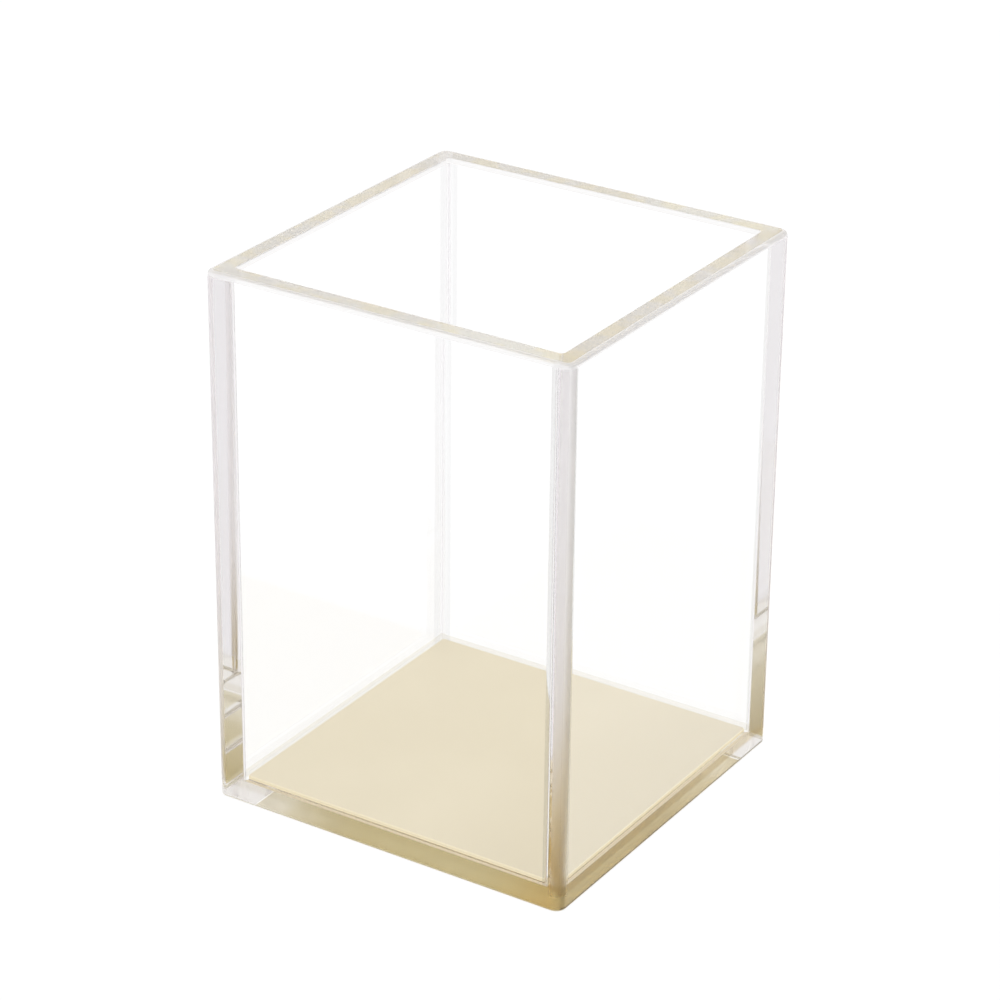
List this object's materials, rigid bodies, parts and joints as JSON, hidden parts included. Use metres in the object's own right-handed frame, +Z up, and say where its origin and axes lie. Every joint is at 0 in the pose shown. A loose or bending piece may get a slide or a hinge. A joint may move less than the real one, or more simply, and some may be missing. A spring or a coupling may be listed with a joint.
{
  "type": "makeup brush pot",
  "caption": "Square open-topped pot in clear acrylic that stands makeup brushes upright, with a gold sheet lying on its floor",
  "frame": {"origin": "Middle of the underside, in the plane that rests on the table", "axes": "+Z up out of the mouth, +X through the wall that faces right in the picture, -Y through the wall that faces left in the picture"},
  "size_m": [0.072, 0.072, 0.1005],
  "materials": {
    "clear_acrylic": "clear cast acrylic sheet, polished on its faces and edges",
    "clear_adhesive": "clear transfer film adhesive",
    "gold_sheet": "gold acrylic sheet, satin and pale on the upper side, deeper gold metal underneath"
  },
  "bodies": {
    "root": {"wall_front": "clear_acrylic", "wall_right": "clear_acrylic", "wall_back": "clear_acrylic", "wall_left": "clear_acrylic", "base_panel": "clear_acrylic", "adhesive_film": "clear_adhesive", "gold_insert": "gold_sheet"}
  },
  "joints": []
}
